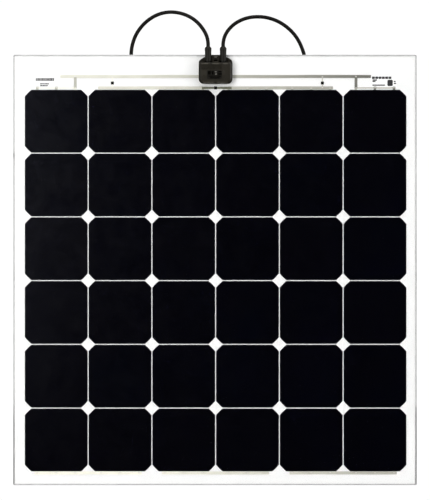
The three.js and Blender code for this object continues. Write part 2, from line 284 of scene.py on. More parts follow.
def cell_pads(tree):
    """High behind a cell and low behind the gaps, where the laminate is a little thinner."""
    split = axes(tree)
    heights = []
    for axis, start, reach in (("X", grid_left, columns * pitch), ("Z", cell_foot_z, rows * pitch)):
        along = math_node(tree, "SUBTRACT", split[axis], start - cell_gap / 2)
        within = math_node(tree, "PINGPONG", along, pitch / 2)
        rise = spread(tree, within, 0.0, 1.0, 0.5 * mm, 5 * mm)
        from_middle = math_node(tree, "ABSOLUTE", math_node(tree, "SUBTRACT", along, reach / 2))
        inside = spread(tree, from_middle, 1.0, 0.0, reach / 2 - 0.2 * mm, reach / 2)
        heights.append(math_node(tree, "MULTIPLY", rise, inside))
    return math_node(tree, "MINIMUM", *heights)


def make_clear_film():
    """A polymer film with a fine cast texture, nearly all clear."""
    material, tree, shader = new_material("clear_film", (0.003, 0.003, 0.003), 0.25)
    shader.inputs["Alpha"].default_value = 0.05
    vary_roughness(tree, shader, 25, 4, 0.18, 0.32)
    add_bump(tree, shader, noise(tree, 700, 3, 0.55), 0.03 * mm, 0.35)
    return material


def make_clouded(name, colour, surface, cloud_scale, tints, grain):
    """A resin or a metal; surface: roughness, metallic; grain: bump scale, relief in mm, strength."""
    material, tree, shader = new_material(name, colour, *surface)
    cloud = spread(tree, noise(tree, cloud_scale, 4), 0.0, 1.0)
    vary_colour(tree, shader, cloud, *tints)
    grain_scale, relief, strength = grain
    add_bump(tree, shader, noise(tree, grain_scale, 3), relief * mm, strength)
    return material


def make_tin(name, left, right, metallic=0.35):
    """Tin over copper, painted brightest at the sheet's left and duller towards its right: painted light
    from the left.
    """
    warm = (1.0, 0.99, 0.86)
    roughness = 0.45
    material, tree, shader = new_material(name, grey(left), roughness, metallic)
    # The colour runs from lighter at the left to darker at the right: painted light, not a change in the
    # tin.
    across = spread(tree, axes(tree)["X"], 0.0, 1.0, -0.16, 0.3)
    lit_left_tint, shaded_right_tint = (tuple(level * c for c in warm) for level in (left, right))
    painted_light_run = blend_colours(tree, across, lit_left_tint, shaded_right_tint)
    cloud = spread(tree, noise(tree, 120, 5, 0.6, (0.35, 1, 1)), 0.0, 0.16)
    vary_colour(tree, shader, cloud, painted_light_run, (0.3, 0.29, 0.24))
    vary_roughness(tree, shader, 260, 4, roughness - 0.06, roughness + 0.1)
    add_bump(tree, shader, noise(tree, 330, 3, 0.5, (0.4, 1, 1)), 0.06 * mm, 0.5)
    return material


def make_moulded(name, dark, light, roughness, grain, relief, specular=0.2):
    """Moulded black plastic or rubber with a spark-eroded grain, relief in mm, and cloudy wear."""
    material, tree, shader = new_material(name, dark, roughness, specular=specular)
    cloud = spread(tree, noise(tree, 55, 5, 0.6), 0.0, 0.6, 0.3, 0.75)
    vary_colour(tree, shader, cloud, dark, light)
    vary_roughness(tree, shader, 160, 4, roughness - 0.07, roughness + 0.08)
    fine = add_bump(tree, shader, noise(tree, grain, 3, 0.6), relief * mm, 0.5)
    add_bump(tree, shader, noise(tree, 45, 2), 0.12 * mm, 0.25, fine)
    return material


def make_cable_jacket():
    material, tree, shader = new_material("cable_jacket", (0.005, 0.0045, 0.0035), 0.5, specular=0.08)
    streaks = spread(tree, noise(tree, 260, 3, 0.5, (1, 1, 0.08)), 0.0, 1.0)
    vary_colour(tree, shader, streaks, (0.0032, 0.0029, 0.0022), (0.007, 0.0064, 0.005))
    vary_roughness(tree, shader, 120, 4, 0.42, 0.58)
    add_bump(tree, shader, noise(tree, 1500, 2), 0.03 * mm, 0.4)
    return material


def make_print(name, colour):
    material, tree, shader = new_material(name, colour, 0.5)
    cloud = spread(tree, noise(tree, 900, 3), 0.0, 1.0)
    lighter = tuple(min(1.0, c * 1.6 + 0.01) for c in colour)
    vary_colour(tree, shader, cloud, colour, lighter)
    return material


CLOUDED = {
    # The edge resin's grey is painted shade: a dark line along the sheet's trimmed edge.
    "resin": ("edge_resin_painted_shade", grey(0.45), (0.35, 0), 40, (grey(0.5), grey(0.42)), (500, 0.05, 0.4)),
    "solder": (
        "solder", (0.8, 0.79, 0.75), (0.4, 0.8), 700,
        ((0.86, 0.85, 0.8), (0.7, 0.69, 0.65)), (900, 0.08, 0.6),
    ),
    "lead": (
        "diode_lead", (0.2, 0.21, 0.15), (0.45, 0.6), 300,
        ((0.24, 0.25, 0.18), (0.15, 0.16, 0.11)), (600, 0.04, 0.5),
    ),
    "brass": (
        "tinned_brass", (0.6, 0.52, 0.36), (0.32, 1), 400,
        ((0.62, 0.54, 0.38), (0.45, 0.39, 0.27)), (900, 0.03, 0.4),
    ),
    "copper": (
        "bare_copper", (0.72, 0.36, 0.2), (0.34, 1), 600,
        ((0.74, 0.38, 0.22), (0.5, 0.22, 0.12)), (1200, 0.03, 0.4),
    ),
    "interconnect": (
        "interconnect_white", (0.84, 0.84, 0.83), (0.5, 0), 240,
        ((0.86, 0.86, 0.85), (0.78, 0.78, 0.77)), (800, 0.03, 0.4),
    ),
}
MOULDED = {
    "box": ("box_plastic", (0.0085, 0.0072, 0.0046), (0.0125, 0.0106, 0.007), 0.34, 1500, 0.04),
    "lid": ("lid_plastic", (0.0115, 0.0099, 0.0068), (0.0175, 0.0152, 0.0108), 0.36, 1500, 0.04),
    # A lighter plastic for two plain pads on the lid.
    "lighter_pad": ("lighter_pad_plastic", (0.017, 0.015, 0.011), (0.026, 0.0235, 0.018), 0.34, 1500, 0.03),
    # Lighter than the lid: painted highlights on the lid's beads and the tray's lower rim.
    "painted_highlight": ("painted_highlight_edge", (0.038, 0.035, 0.028), (0.075, 0.07, 0.058), 0.3, 1300, 0.03, 0.22),
    # Darker than the lid: painted shade on the floor of the sunk emblem panel.
    "recess_shade": ("box_recess_painted_shade", (0.0055, 0.0048, 0.0035), (0.0088, 0.0077, 0.0056), 0.42, 1500, 0.04, 0.12),
    # Near-black gloss: the lid's relief marks, and painted shade on the floors of windows and recesses.
    "dark_gloss_and_shade": ("box_dark_gloss_and_painted_shade", (0.0016, 0.0014, 0.001), (0.003, 0.0026, 0.002), 0.14, 1500, 0.01, 0.16),
    "sleeve": ("sleeve_rubber", (0.0062, 0.0056, 0.0038), (0.01, 0.009, 0.0062), 0.52, 1200, 0.05, 0.15),
    "epoxy": ("diode_epoxy", grey(0.0004), grey(0.0012), 0.6, 2500, 0.03, 0.05),
    "connector": ("connector_plastic", grey(0.011), grey(0.02), 0.38, 1600, 0.04),
    "seal": ("seal_rubber", (0.03, 0.03, 0.032), (0.045, 0.045, 0.048), 0.6, 900, 0.03),
    # Far lighter than the box plastic, with a glossy finish: painted highlights on the latch pads and the
    # lid's dots.
    "polished_with_highlight": ("polished_painted_highlight", (0.08, 0.077, 0.068), (0.13, 0.124, 0.11), 0.2, 1500, 0.01),
}
materials = {
    "cell": make_cell_silicon(),
    "back": make_back_white(),
    "film": make_clear_film(),
    # Each tin's two levels are painted light: its brightness at the sheet's left and at its right.
    "ribbon": make_tin("ribbon_tin", 0.79, 0.2),
    "low_ribbon": make_tin("low_ribbon_tin", 0.79, 0.41),
    "stub": make_tin("stub_tin", 0.5, 0.2),
    "pale_tin": make_tin("pale_tin", 0.98, 0.52, 0.1),
    "jacket": make_cable_jacket(),
    "print": make_print("printed_marks", (0.012, 0.012, 0.013)),
    "label": make_print("label_paper", (0.86, 0.86, 0.85)),
}
materials.update({key: make_clouded(*values) for key, values in CLOUDED.items()})
materials.update({key: make_moulded(*values) for key, values in MOULDED.items()})


# ---------------------------------------------------------------- mesh helpers

def finish_mesh(name, bm, material, body=None, smooth=True, sharp_deg=32):
    """Turns a bmesh into a linked object with its material, riding on a body if one is named."""
    bmesh.ops.recalc_face_normals(bm, faces=bm.faces[:])
    mesh = mesh_from(name, bm)
    mesh.materials.append(materials[material])
    if smooth:
        mesh.polygons.foreach_set("use_smooth", [True] * len(mesh.polygons))
        mesh.set_sharp_from_angle(angle=math.radians(sharp_deg))
    made = linked(name, mesh)
    if smooth:
        made.modifiers.new("flatten", "WEIGHTED_NORMAL").keep_sharp = True
        apply_modifiers(made)
    if body:
        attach(made, body)
    return made


def apply_modifiers(obj):
    graph = bpy.context.evaluated_depsgraph_get()
    mesh = bpy.data.meshes.new_from_object(obj.evaluated_get(graph))
    obj.modifiers.clear()
    obj.data = mesh


def rounded_outline(x0, x1, z0, z1, top, bottom, steps=8):
    """A rectangle with rounded corners as X, Z points, anticlockwise from the bottom left."""
    corners = (
        (x0 + bottom, z0 + bottom, bottom, math.pi),
        (x1 - bottom, z0 + bottom, bottom, 1.5 * math.pi),
        (x1 - top, z1 - top, top, 0.0),
        (x0 + top, z1 - top, top, 0.5 * math.pi),
    )
    points = []
    for cx, cz, radius, start in corners:
        for step in range(steps + 1):
            angle = start + step * math.pi / 2 / steps
            points.append((cx + radius * math.cos(angle), cz + radius * math.sin(angle)))
    return points


def loft(rings, bm=None):
    """Bridges rings of equal length, each a list of X, Y, Z points, and caps both ends."""
    bm = bm or bmesh.new()
    made = [[bm.verts.new(point) for point in ring] for ring in rings]
    count = len(made[0])
    for lower, upper in zip(made, made[1:]):
        for i in range(count):
            j = (i + 1) % count
            bm.faces.new((lower[i], lower[j], upper[j], upper[i]))
    bm.faces.new(made[0][::-1])
    bm.faces.new(made[-1])
    return bm


def at(y, outline):
    """An X, Z outline as points at one Y."""
    return [(x, y, z) for x, z in outline]


def slab(outline, back, front, bm=None):
    """An outline in X and Z made solid between two Y planes."""
    return loft([at(y, outline) for y in (back, front)], bm)


def cut_across(bm, heights):
    """Adds edges across the mesh at these Z heights, so that it can bend there."""
    for height in heights:
        everything = bm.verts[:] + bm.edges[:] + bm.faces[:]
        bmesh.ops.bisect_plane(bm, geom=everything, plane_co=(0, 0, height), plane_no=(0, 0, 1))


def bend_heights(joint):
    """The heights at which a piece is cut across, so that it can bend at this joint."""
    start = bend_z[joint] - bend_reach
    count = round(2 * bend_reach / bend_step)
    return [start + 2 * bend_reach * i / count for i in range(count + 1)]


def bend_with(obj):
    """Bakes a laminate piece's transform into its mesh."""
    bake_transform(obj)


# Each half's bending line, its top and bottom edges, and the strips that it covers.
HALVES = {
    "upper": ("upper_bend", sheet_top, strip_split, ("top", "middle")),
    "lower": ("lower_bend", strip_split, sheet_bottom, ("middle", "bottom")),
}


# ---------------------------------------------------------------- leads

# Where each cable runs, in millimetres: X and Y as in the frame, Z above the sheet's top edge.
LEFT_ROUTE = [
    (-13.75, -9.5, 15.7), (-13.9, -9.5, 23), (-15.2, -9.3, 31.8), (-18.2, -8.7, 40.6),
    (-23.4, -7.75, 50), (-31.4, -6.5, 60.5), (-42.4, -5, 70.5), (-56, -3.1, 78.4),
    (-71.5, -0.9, 83.5), (-87.5, 1.5, 85.4), (-103, 3.8, 83.9), (-117.3, 6, 79.3),
    (-130.4, 8, 71.9), (-141.6, 9.7, 62.7), (-150.8, 11.2, 52.2), (-158, 12.5, 40.8),
    (-163.2, 13.6, 28.5), (-166.6, 14.5, 15.5), (-168, 15, 1), (-168.4, 15, -17),
    (-168.6, 15, -40), (-168.7, 15, -80), (-168.7, 15, -120), (-168.7, 15, -165),
    (-168.7, 15, -206),
]
RIGHT_ROUTE = [
    (16.25, -9.5, 15.7), (16.4, -9.5, 23), (18.1, -9.3, 32.2), (21.6, -8.7, 41),
    (27.5, -7.6, 50), (35.8, -6.5, 58.6), (46.4, -5.1, 66), (58.7, -3.4, 71.6),
    (72.4, -1.4, 75), (87, 0.8, 76), (101.6, 3, 74.8), (115.7, 5.1, 71.2),
    (128.9, 7.2, 65.6), (140.8, 9.1, 58.1), (151.2, 10.8, 49.4), (160, 12.3, 39.6),
    (167.2, 13.5, 28.9), (173, 14.4, 17), (177.6, 15, 4), (181, 15, -11),
    (183.2, 15, -27), (184.4, 15, -45), (184.8, 15, -80), (184.8, 15, -120),
    (184.8, 15, -170), (184.8, 15, -215.7),
]
cable_diameter = 7.5 * mm
ROUTES = {"left": LEFT_ROUTE, "right": RIGHT_ROUTE}


def smooth_route(points, per_span=4):
    """Catmull-Rom points through the route, in metres from the row's origin."""
    knots = [Vector((x * mm, y * mm, sheet_top + z * mm)) for x, y, z in points]
    ends = [2 * knots[0] - knots[1], *knots, 2 * knots[-1] - knots[-2]]
    found = []
    for before, start, stop, after in zip(ends, ends[1:], ends[2:], ends[3:]):
        for step in range(per_span):
            t = step / per_span
            found.append(0.5 * (
                2 * start + (stop - before) * t
                + (2 * before - 5 * start + 4 * stop - after) * t * t
                + (3 * start - before - 3 * stop + after) * t ** 3
            ))
    return [*found, knots[-1]]


def add_cable(side):
    """One lead's jacket as a bevelled curve; returns it with the points of its route."""
    points = smooth_route(ROUTES[side])
    curve = bpy.data.curves.new(f"cable_{side}_jacket", "CURVE")
    curve.dimensions = "3D"
    curve.bevel_depth = cable_diameter / 2
    curve.bevel_resolution = 6
    curve.use_fill_caps = True
    spline = curve.splines.new("POLY")
    spline.points.add(len(points) - 1)
    for point, place in zip(spline.points, points):
        point.co = (*place, 1)
    spline.use_smooth = True
    curve.materials.append(materials["jacket"])
    made = linked(f"cable_{side}_jacket", curve)
    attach(made, "top_strip")
    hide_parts(f"cable_{side}")
    return made, points


add_camera()
cables = {side: add_cable(side) for side in ROUTES}


# ---------------------------------------------------------------- laminate

def add_piece(name, bm, material, body=None, joint=None, nodes=(), sharp_deg=32):
    """Links a finished bmesh, rides it on a body if one is named, and bakes its transform where a bending
    line is named.
    """
    made = finish_mesh(name, bm, material, body, sharp_deg=sharp_deg)
    if joint:
        bend_with(made)
    if nodes:
        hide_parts(*nodes)
    return made


def top_piece(name, bm, material, nodes=(), sharp_deg=32):
    """A piece that rides on the top strip."""
    return add_piece(name, bm, material, "top_strip", None, nodes, sharp_deg)


def half_outline(half, inset=0.0):
    """One half of the sheet, with its two outer corners rounded, as X, Z points."""
    _, top, bottom, _ = HALVES[half]
    high = top - (inset if half == "upper" else 0)
    low = bottom + (inset if half == "lower" else 0)
    radius = corner_radius - inset
    x0, x1 = sheet_left + inset, sheet_right - inset
    if half == "upper":
        corners = [(x1 - radius, high - radius, 0), (x0 + radius, high - radius, 90)]
        square = [(x0, low), (x1, low)]
    else:
        corners = [(x0 + radius, low + radius, 180), (x1 - radius, low + radius, 270)]
        square = [(x1, high), (x0, high)]
    arcs = []
    for cx, cz, start in corners:
        for step in range(7):
            angle = math.radians(start + 15 * step)
            arcs.append((cx + radius * math.cos(angle), cz + radius * math.sin(angle)))
    return square + arcs if half == "upper" else arcs + square


def plate_with_hole(outline, hole, back, front):
    """An outline with a hole through it, between two Y planes."""
    bm = bmesh.new()
    loops = []
    for y in (back, front):
        level = []
        for points in (outline, hole):
            ring = [bm.verts.new((x, y, z)) for x, z in points]
            level.append([bm.edges.new((a, b)) for a, b in zip(ring, ring[1:] + ring[:1])])
        loops.append(level)
        bmesh.ops.triangle_fill(bm, use_beauty=True, edges=level[0] + level[1])
    for level_back, level_front in zip(*loops):
        for a, b in zip(level_back, level_front):
            bm.faces.new((a.verts[0], a.verts[1], b.verts[1], b.verts[0]))
    return bm

def slot_outline():
    """The slot under the box that the ribbons' tabs rise through."""
    half_width, half_height = 16 * mm, 4.5 * mm
    x0, x1 = box_x - half_width, box_x + half_width
    z0, z1 = upper_bus_z - half_height, upper_bus_z + half_height
    return rounded_outline(x0, x1, z0, z1, 1 * mm, 1 * mm, 4)


def add_laminate():
    for half, (joint, *_, strips) in HALVES.items():
        heights = bend_heights(joint)
        sheet = slab(half_outline(half), BACK_HIGH.y, BACK_LOW.y)
        cut_across(sheet, heights)
        nodes = [f"back_sheet_{strip}" for strip in strips]
        add_piece(f"back_sheet_{half}", sheet, "back", joint=joint, nodes=nodes)
        if half == "upper":
            film = plate_with_hole(half_outline(half), slot_outline(), FILM_HIGH.y, FILM_LOW.y)
        else:
            film = slab(half_outline(half), FILM_HIGH.y, FILM_LOW.y)
        cut_across(film, heights)
        nodes = [f"front_film_{strip}" for strip in strips]
        add_piece(f"front_film_{half}", film, "film", joint=joint, nodes=nodes)
        add_edge_seal(half, joint, heights)


def add_edge_seal(half, joint, heights):
    """Encapsulant that closes the laminate's trimmed edge, open where the two halves meet."""
    # The seal's grey is painted shade: a dark line along the laminate's trimmed edge.
    outer = half_outline(half, 0.05 * mm)
    inner = half_outline(half, 2.6 * mm)
    if half == "upper":
        outer = outer[1:] + outer[:1]
        inner = inner[1:] + inner[:1]
    else:
        outer = outer[-1:] + outer[:-1]
        inner = inner[-1:] + inner[:-1]
    back, front = BACK_LOW.y, FILM_HIGH.y
    sections = []
    for (ox, oz), (ix, iz) in zip(outer, inner):
        sections.append([(ox, back, oz), (ox, front, oz), (ix, front, iz), (ix, back, iz)])
    bm = loft(sections)
    cut_across(bm, heights)
    add_piece(f"edge_seal_{half}", bm, "resin", joint=joint)


# ---------------------------------------------------------------- cells

# What the cells of each row ride on, or the bending line that is named for them.
ROW_MOTION = {
    1: ("top_strip", None),
    2: (None, "upper_bend"),
    3: (None, "upper_bend"),
    4: (None, "lower_bend"),
    5: (None, "lower_bend"),
    6: ("bottom_strip", None),
}


def cell_outline(cx, cz):
    """A square wafer with its corners cut by the round ingot, as X, Z points."""
    half = cell_size / 2 + cell_overlap
    flat = math.acos(half / wafer_radius)
    points = []
    for side in range(4):
        middle = math.pi / 4 + side * math.pi / 2
        sweep = math.pi / 4 - flat
        for step in range(9):
            angle = middle + sweep * (step / 4 - 1)
            points.append((cx + wafer_radius * math.cos(angle), cz + wafer_radius * math.sin(angle)))
    return points


def add_cell(row, column):
    cx, cz = cell_middle(row, column)
    body, joint = ROW_MOTION[row]
    outline = cell_outline(cx, cz)
    inner = [(cx + (x - cx) * face_scale, cz + (z - cz) * face_scale) for x, z in outline]
    back, front = CELL_HIGH.y, CELL_LOW.y
    step = 0.07 * mm
    bm = loft([at(back, inner), at(back - step, outline), at(front + step, outline), at(front, inner)])
    if joint:
        cut_across(bm, bend_heights(joint))
    name = f"cell_r{row}_c{column}"
    layer = bm.loops.layers.uv.new("cell")
    for face in bm.faces:
        for corner in face.loops:
            place = corner.vert.co
            corner[layer].uv = ((place.x - cx) / mm, (place.z - cz) / mm)
    tone = bm.verts.layers.float.new("tone")
    shade = random.Random(17 * row + column).random()
    for vertex in bm.verts:
        vertex[tone] = shade
    add_piece(f"silicon_r{row}_c{column}", bm, "cell", body, joint, [name], sharp_deg=12)


# The same for the gap below each row.
GAP_MOTION = {
    1: ("top_strip", None),
    2: (None, "upper_bend"),
    3: ("middle_strip", None),
    4: (None, "lower_bend"),
    5: ("bottom_strip", None),
}


def add_interconnect(row, column):
    """A white-faced strip behind the gap below a cell, with a tongue at each of its six pads."""
    cx, cz = cell_middle(row, column)
    gap_z = cz - pitch / 2
    back, front = BACK_LOW.y - 0.05 * mm, CELL_HIGH.y + 0.05 * mm
    tongues = (-1, 0, 1)
    outline = []
    for side in (-1, 1):
        for tongue in tongues:
            middle = -side * tongue * pad_spacing
            reach = 4.2 * mm if tongue else 3.4 * mm
            steps = ((5.5, 1.1), (3.2, 1.6), (2.4, 2.2), (2.4, reach / mm))
            half = [(side * w * mm, h * mm) for w, h in steps]
            profile = half + [(-w, h) for w, h in reversed(half)]
            outline += [(cx + middle + w, gap_z - side * h) for w, h in profile]
    bm = slab(outline, back, front)
    body, joint = GAP_MOTION[row]
    add_piece(f"interconnect_r{row}_c{column}", bm, "interconnect", body, joint)


# ---------------------------------------------------------------- ribbons and diodes

def strip(bm, start, end, width, thickness, front, seed, wobble=0.1):
    """A flat ribbon between two X, Z points, soft at its edges and not quite straight."""
    chance = random.Random(seed)
    start, end = Vector(start), Vector(end)
    along = (end - start).normalized()
    across = Vector((-along.y, along.x))
    count = max(2, round((end - start).length / (5 * mm)))
    soft = min(0.3 * width, 0.35 * mm)
    thin = thickness * 0.35
    section = (
        (-width / 2, thin), (-width / 2 + soft, 0), (width / 2 - soft, 0), (width / 2, thin),
        (width / 2, thickness - thin), (width / 2 - soft, thickness),
        (-width / 2 + soft, thickness), (-width / 2, thickness - thin),
    )
    phases = [chance.uniform(0, math.tau) for _ in range(3)]
    rings = []
    for i in range(count + 1):
        t = i / count
        middle = start.lerp(end, t)
        place = t * (end - start).length / mm
        side = wobble * mm * math.sin(place / 37 + phases[0]) * math.sin(math.pi * t)
        lift = 0.05 * mm * (math.sin(place / 9 + phases[1]) + math.sin(place / 23 + phases[2])) / 2
        rings.append([
            (
                middle.x + across.x * (u + side),
                front + v + lift,
                middle.y + across.y * (u + side),
            )
            for u, v in section
        ])
    return loft(rings, bm)


def dome(bm, x, y, z, half_width, half_height, rise, seed):
    """A flattened, uneven blob: its foot at y, and its sizes in millimetres."""
    half_width, half_height, rise = half_width * mm, half_height * mm, rise * mm
    chance = random.Random(seed)
    wave = [chance.uniform(0, math.tau) for _ in range(2)]
    rings = []
    for size, level in ((1.0, 0.0), (0.97, 0.45), (0.78, 0.8), (0.4, 1.0)):
        ring = []
        for k in range(20):
            angle = math.tau * k / 20
            uneven = 1 + 0.08 * math.sin(2 * angle + wave[0]) + 0.05 * math.sin(3 * angle + wave[1])
            ring.append((
                x + half_width * size * uneven * math.cos(angle),
                y - rise * level,
                z + half_height * size * uneven * math.sin(angle),
            ))
        rings.append(ring)
    return loft(rings, bm)


def pad_x(column, side):
    """The place across of a cell's pad: -1, 0 or 1 for its left, middle or right one."""
    return cell_middle(1, column)[0] + side * pad_spacing


ribbon_front = CELL_LOW.y - 0.03 * mm
solder_foot = ribbon_front + 0.04 * mm
ribbon_height = 6 * mm
ribbon_thickness = 0.2 * mm
thin_strip = 0.14 * mm
link_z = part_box("bottom_link_1")[0].z + ribbon_height / 2
pad_reach = 3 * mm
strip_end = 5.5 * mm
ribbon_wave = 0.22


def pad_tongue(bm, x, from_z, to_z, seed):
    """A short tab from a ribbon to behind the cell's edge, at one of its pads."""
    strip(bm, (x, from_z), (x, to_z), 4.6 * mm, 0.12 * mm, CELL_HIGH.y + 0.04 * mm, seed, 0)


def diode_x(name):
    low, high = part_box(f"bypass_diode_{name}")
    return (low.x + high.x) / 2


def add_upper_bus(name, side):
    """The ribbon from the box with its tab, the stub down from it, and the strip over the pads."""
    column = 1 if side < 0 else 6
    outer, centre, inner = pad_x(column, side), pad_x(column, 0), pad_x(column, -side)
    tab_x = box_x + side * 8 * mm
    seed = 40 + side
    nodes = [f"upper_bus_{name}"]
    stub = bmesh.new()
    stub_ends = (inner, upper_bus_z - 1.5 * mm), (inner, lower_bus_z - 1 * mm)
    strip(stub, *stub_ends, 5.4 * mm, thin_strip, ribbon_front - 0.16 * mm, seed + 2)
    pads = bmesh.new()
    pad_ends = (inner - side * 1.6 * mm, lower_bus_z), (outer + side * 3 * mm, lower_bus_z)
    strip(pads, *pad_ends, 2.4 * mm, thin_strip, ribbon_front + 0.02 * mm, seed + 4)
    solder = bmesh.new()
    dome(solder, inner, ribbon_front - 0.1 * mm, upper_bus_z, 1.9, 1.7, 0.16, seed)
    dome(solder, inner, ribbon_front - 0.1 * mm, lower_bus_z, 1.7, 1.4, 0.16, seed + 1)
    for k, x in enumerate((centre, outer)):
        drop = (x, lower_bus_z + 2.6 * mm), (x, grid_top + 0.4 * mm)
        strip(stub, *drop, 5 * mm, thin_strip, ribbon_front - 0.02 * mm, seed + 14 + k, 0)
        pad_tongue(pads, x, lower_bus_z + 0.6 * mm, grid_top - pad_reach, seed + 6 + k)
        dome(solder, x, ribbon_front, lower_bus_z + 0.4 * mm, 1.6, 1.1, 0.12, seed + 2 + k)
    pad_tongue(pads, inner, lower_bus_z + 0.6 * mm, grid_top - pad_reach, seed + 5)
    dome(solder, diode_x(name), solder_foot, upper_bus_z - 0.6 * mm, 1.5, 1.2, 0.2, seed + 5)
    ribbon = bmesh.new()
    ribbon_ends = (inner + side * 30 * mm, upper_bus_z), (tab_x, upper_bus_z)
    strip(ribbon, *ribbon_ends, ribbon_height, ribbon_thickness, ribbon_front, seed, ribbon_wave)
    tab_ends = (tab_x, upper_bus_z + 2.4 * mm), (tab_x, upper_bus_z - 2.4 * mm)
    strip(ribbon, *tab_ends, 0.4 * mm, 6.4 * mm, BASE_HIGH.y - 5 * mm, seed + 12, 0)
    top_piece(f"upper_bus_{name}_stub", stub, "stub", nodes)
    top_piece(f"upper_bus_{name}_pad_strip", pads, "pale_tin", nodes)
    top_piece(f"upper_bus_{name}_ribbon", ribbon, "ribbon", nodes)
    top_piece(f"upper_bus_{name}_solder", solder, "solder")


def add_pads(ribbon, solder, columns_joined, tongue_ends, solder_z, seed):
    """A tongue and a drop of solder at each pad of two neighbouring cells."""
    places = [pad_x(column, step) for column in columns_joined for step in (-1, 0, 1)]
    for k, x in enumerate(places):
        pad_tongue(ribbon, x, *tongue_ends, seed + 3 + k)
        dome(solder, x, solder_foot, solder_z, 2.2, 1.0, 0.13, seed + k)


def add_lower_bus(name, side):
    """The ribbon that joins two of the middle columns, with a tongue and solder at each pad."""
    near, far = (3, 2) if side < 0 else (4, 5)
    seed = 70 + side
    ribbon = bmesh.new()
    ends = (pad_x(far, side) + side * strip_end, lower_bus_z), (pad_x(near, -side), lower_bus_z)
    strip(ribbon, *ends, ribbon_height, ribbon_thickness, ribbon_front, seed, ribbon_wave)
    solder = bmesh.new()
    tongue_ends = lower_bus_z, grid_top - pad_reach
    add_pads(ribbon, solder, (far, near), tongue_ends, lower_bus_z - 0.5 * mm, seed)
    dome(solder, diode_x(name), solder_foot, lower_bus_z + 0.6 * mm, 1.5, 1.2, 0.2, seed + 9)
    nodes = [f"lower_bus_{name}"]
    top_piece(f"lower_bus_{name}_ribbon", ribbon, "low_ribbon", nodes)
    top_piece(f"lower_bus_{name}_solder", solder, "solder")


def add_bottom_link(link):
    """The ribbon below the last row that joins a pair of columns."""
    first, second = 2 * link - 1, 2 * link
    seed = 100 + link
    ribbon = bmesh.new()
    ends = (pad_x(first, -1) - strip_end, link_z), (pad_x(second, 1) + strip_end, link_z)
    strip(ribbon, *ends, ribbon_height, ribbon_thickness, ribbon_front, seed, 0.2)
    solder = bmesh.new()
    tongue_ends = cell_foot_z + pad_reach, link_z
    add_pads(ribbon, solder, (first, second), tongue_ends, link_z + 0.4 * mm, seed)
    nodes = [f"bottom_link_{link}"]
    add_piece(f"bottom_link_{link}_ribbon", ribbon, "pale_tin", "bottom_strip", None, nodes)
    add_piece(f"bottom_link_{link}_solder", solder, "solder", "bottom_strip")


def add_diode(name):
    """A flat moulded package with its two leads soldered to the ribbons next to it."""
    low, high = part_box(f"bypass_diode_{name}")
    x, z = (low.x + high.x) / 2, (low.z + high.z) / 2
    half_x, half_z = (high.x - low.x) / 2, (high.z - low.z) / 2
    back, front = high.y, low.y - 0.06 * mm
    shoulder = (back + front) / 2
    rings = []
    for y, inset in ((back, 0.25), (shoulder, 0.0), (front + 0.08 * mm, 0.18), (front, 0.4)):
        wide, tall = half_x - inset * mm, half_z - inset * mm
        outline = rounded_outline(x - wide, x + wide, z - tall, z + tall, 0.4 * mm, 0.4 * mm, 3)
        rings.append(at(y, outline))
    nodes = [f"bypass_diode_{name}"]
    top_piece(f"diode_{name}_package", loft(rings), "epoxy", nodes)
    leads = bmesh.new()
    lead_front = shoulder - 0.08 * mm
    if name == "middle":
        for side, reach in ((-1, 27.5), (1, 32)):
            ends = (x + side * (half_x - 0.2 * mm), z), (x + side * reach * mm, z)
            taper_lead(leads, *ends, 3.8 * mm, 4.8 * mm, lead_front - 0.12 * mm)
    else:
        for side, bus_z in ((1, upper_bus_z), (-1, lower_bus_z)):
            ends = (x, z + side * (half_z - 0.2 * mm)), (x, bus_z)
            taper_lead(leads, *ends, 2.4 * mm, 1.7 * mm, lead_front)
    tone = "lead" if name == "middle" else "pale_tin"
    top_piece(f"diode_{name}_leads", leads, tone)


def taper_lead(bm, start, end, start_width, end_width, front):
    """A flat lead between two X, Z points that changes width and rises slightly on its way."""
    start, end = Vector(start), Vector(end)
    along = (end - start).normalized()
    across = Vector((-along.y, along.x))
    rings = []
    for i in range(7):
        t = i / 6
        width = start_width + (end_width - start_width) * min(1, 1.6 * t)
        middle = start.lerp(end, t)
        lift = 0.1 * mm * t
        section = ((-0.5, 0.05), (-0.42, 0), (0.42, 0), (0.5, 0.05), (0.5, 0.12), (-0.5, 0.12))
        rings.append([
            (middle.x + across.x * u * width, front - lift + v * mm, middle.y + across.y * u * width)
            for u, v in section
        ])
    loft(rings, bm)


# ---------------------------------------------------------------- junction box

def down(depth):
    """The height of a point this many millimetres below the sheet's top edge."""
    return sheet_top - depth * mm


def beside(offset):
    """The place across of a point this many millimetres right of the box's middle."""
    return box_x + offset * mm


def box_outline(x0, x1, top, bottom, top_radius, bottom_radius, steps=8):
    """A rounded rectangle on the box, in millimetres from its middle and below the top edge."""
    return rounded_outline(
        beside(x0), beside(x1), down(bottom), down(top), top_radius * mm, bottom_radius * mm, steps,
    )



def shape_from(bm):
    """An object to cut or join with, or to cut into."""
    bmesh.ops.recalc_face_normals(bm, faces=bm.faces[:])
    return linked("shape", mesh_from("shape", bm))


def combine(target, others, operation):
    """Joins bmeshes to a shape, or cuts them out of it."""
    for bm in others:
        other = shape_from(bm)
        modifier = target.modifiers.new("combine", "BOOLEAN")
        modifier.operation = operation
        modifier.solver = "EXACT"
        modifier.object = other
        apply_modifiers(target)
        bpy.data.objects.remove(other)
    return target


def soften(target, width, segments=2, angle=38):
    """Rounds the edges that are sharper than an angle."""
    modifier = target.modifiers.new("soften", "BEVEL")
    modifier.width = width
    modifier.segments = segments
    modifier.limit_method = "ANGLE"
    modifier.angle_limit = math.radians(angle)
    modifier.miter_outer = "MITER_ARC"
    apply_modifiers(target)
    return target


